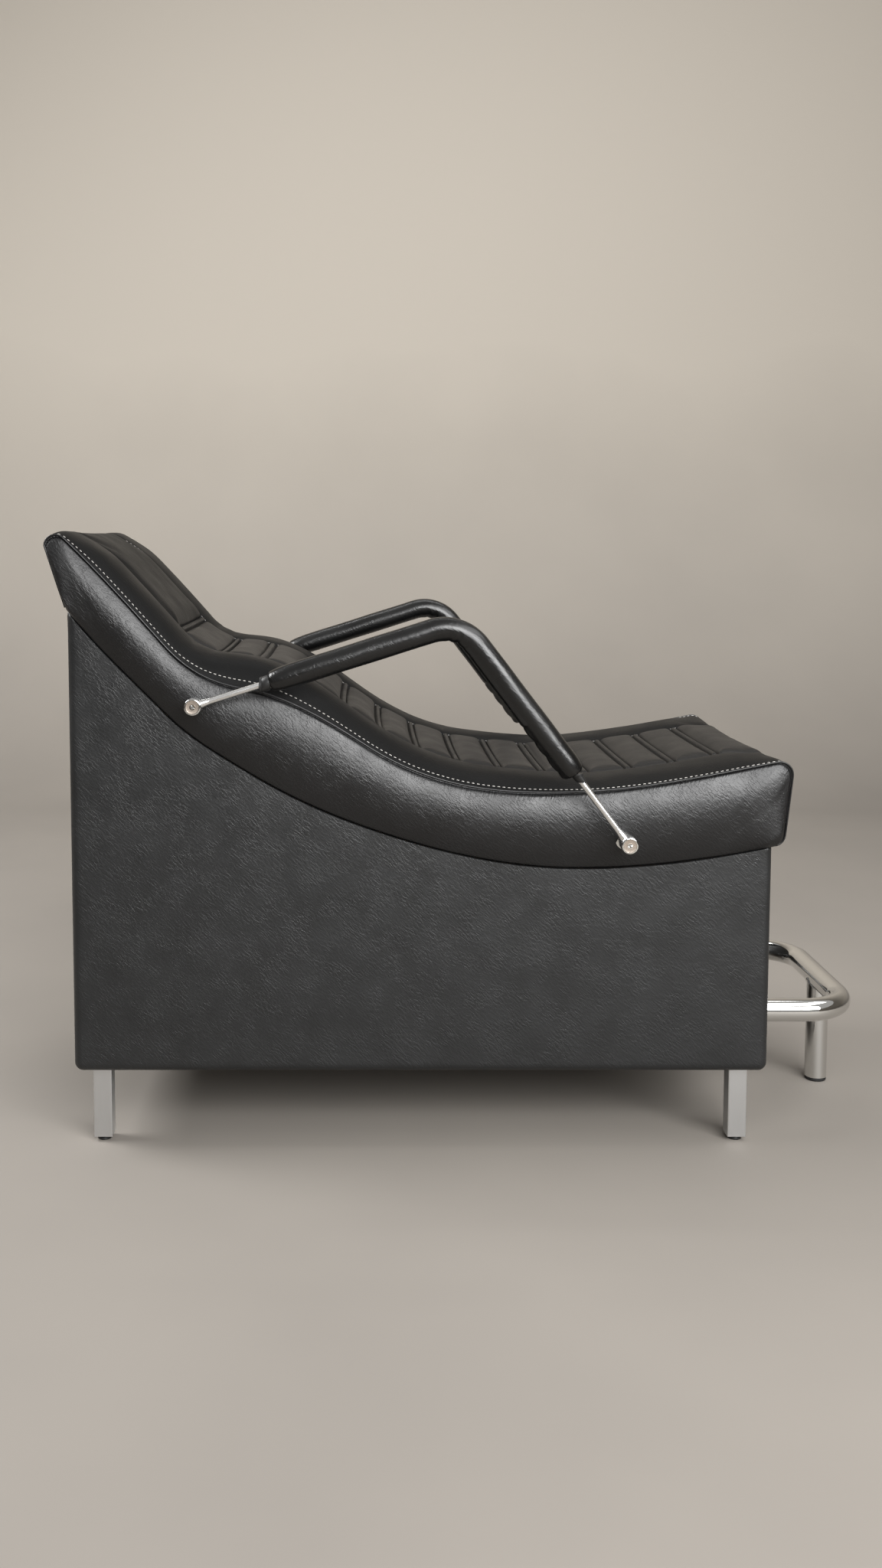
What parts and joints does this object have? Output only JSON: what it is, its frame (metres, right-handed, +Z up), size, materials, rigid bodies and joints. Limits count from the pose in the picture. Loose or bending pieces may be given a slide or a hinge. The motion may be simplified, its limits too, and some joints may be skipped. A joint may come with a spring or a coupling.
{
  "type": "shampoo lounge chair",
  "caption": "Reclined salon wash lounge: an S-curved channelled cushion on an upholstered box base, with padded loop arms, square legs and a bent tube footrest.",
  "frame": {"origin": "on the floor, under the middle of the whole chair's box", "axes": "+X from the head end to the footrest, +Y to the sitter's left, +Z up"},
  "size_m": [1.33, 0.7102, 0.9788],
  "materials": {
    "black_vinyl": "grained, semi-gloss",
    "charcoal_vinyl": "grained, satin",
    "chrome": "bright plated",
    "satin_aluminium": "satin anodised",
    "plywood": "sanded",
    "black_plastic": "moulded, fine texture",
    "black_rubber": "matt",
    "zinc_steel": "bright zinc",
    "dust_cloth": "non-woven"
  },
  "bodies": {
    "chair": {"arm_bolt_front_left": "chrome", "arm_bolt_front_right": "chrome", "arm_bolt_rear_left": "chrome", "arm_bolt_rear_right": "chrome", "arm_ferrule_front_left": "black_plastic", "arm_ferrule_front_right": "black_plastic", "arm_ferrule_rear_left": "black_plastic", "arm_ferrule_rear_right": "black_plastic", "arm_pad_left": "black_vinyl", "arm_pad_right": "black_vinyl", "arm_rod_left": "chrome", "arm_rod_right": "chrome", "arm_standoff_front_left": "chrome", "arm_standoff_front_right": "chrome", "arm_standoff_rear_left": "chrome", "arm_standoff_rear_right": "chrome", "arm_tnut_front_left": "zinc_steel", "arm_tnut_front_right": "zinc_steel", "arm_tnut_rear_left": "zinc_steel", "arm_tnut_rear_right": "zinc_steel", "dust_cover": "dust_cloth", "foot_cover": "charcoal_vinyl", "foot_panel": "plywood", "footrest_leg": "chrome", "footrest_loop": "chrome", "footrest_socket_left": "zinc_steel", "footrest_socket_right": "zinc_steel", "footrest_tip": "black_rubber", "head_cover": "charcoal_vinyl", "head_panel": "plywood", "leg_board_foot": "plywood", "leg_board_head": "plywood", "leg_foot_left": "satin_aluminium", "leg_foot_right": "satin_aluminium", "leg_head_left": "satin_aluminium", "leg_head_right": "satin_aluminium", "leg_plug_foot_left": "black_plastic", "leg_plug_foot_right": "black_plastic", "leg_plug_head_left": "black_plastic", "leg_plug_head_right": "black_plastic", "seat_cushion": "black_vinyl", "seat_deck": "plywood", "seat_rail_1": "plywood", "seat_rail_2": "plywood", "seat_rail_3": "plywood", "seat_rib_left": "plywood", "seat_rib_right": "plywood", "side_cover_left": "charcoal_vinyl", "side_cover_right": "charcoal_vinyl", "side_panel_left": "plywood", "side_panel_right": "plywood"},
    "glide_screw_head_left": {"glide_stud_head_left": "zinc_steel"},
    "glide_pad_head_left": {"glide_foot_head_left": "black_plastic"},
    "glide_screw_head_right": {"glide_stud_head_right": "zinc_steel"},
    "glide_pad_head_right": {"glide_foot_head_right": "black_plastic"},
    "glide_screw_foot_left": {"glide_stud_foot_left": "zinc_steel"},
    "glide_pad_foot_left": {"glide_foot_foot_left": "black_plastic"},
    "glide_screw_foot_right": {"glide_stud_foot_right": "zinc_steel"},
    "glide_pad_foot_right": {"glide_foot_foot_right": "black_plastic"}
  },
  "joints": [
    {"name": "level_head_left", "type": "slide", "parent": "chair", "child": "glide_screw_head_left", "axis": [0, 0, -1], "range_m": [0, 0.01]},
    {"name": "turn_head_left", "type": "hinge", "parent": "glide_screw_head_left", "child": "glide_pad_head_left", "pos_m": [-0.5895, 0.2547, 0], "axis": [0, 0, -1], "range_deg": [0, 2880]},
    {"name": "level_head_right", "type": "slide", "parent": "chair", "child": "glide_screw_head_right", "axis": [0, 0, -1], "range_m": [0, 0.01]},
    {"name": "turn_head_right", "type": "hinge", "parent": "glide_screw_head_right", "child": "glide_pad_head_right", "pos_m": [-0.5895, -0.2547, 0], "axis": [0, 0, -1], "range_deg": [0, 2880]},
    {"name": "level_foot_left", "type": "slide", "parent": "chair", "child": "glide_screw_foot_left", "axis": [0, 0, -1], "range_m": [0, 0.01]},
    {"name": "turn_foot_left", "type": "hinge", "parent": "glide_screw_foot_left", "child": "glide_pad_foot_left", "pos_m": [0.433, 0.2547, 0], "axis": [0, 0, -1], "range_deg": [0, 2880]},
    {"name": "level_foot_right", "type": "slide", "parent": "chair", "child": "glide_screw_foot_right", "axis": [0, 0, -1], "range_m": [0, 0.01]},
    {"name": "turn_foot_right", "type": "hinge", "parent": "glide_screw_foot_right", "child": "glide_pad_foot_right", "pos_m": [0.433, -0.2547, 0], "axis": [0, 0, -1], "range_deg": [0, 2880]}
  ],
  "couplings": [
    {"joint": "turn_head_left", "follows": "level_head_left", "rad_per_m": 5026.5},
    {"joint": "turn_head_right", "follows": "level_head_right", "rad_per_m": 5026.5},
    {"joint": "turn_foot_left", "follows": "level_foot_left", "rad_per_m": 5026.5},
    {"joint": "turn_foot_right", "follows": "level_foot_right", "rad_per_m": 5026.5}
  ]
}
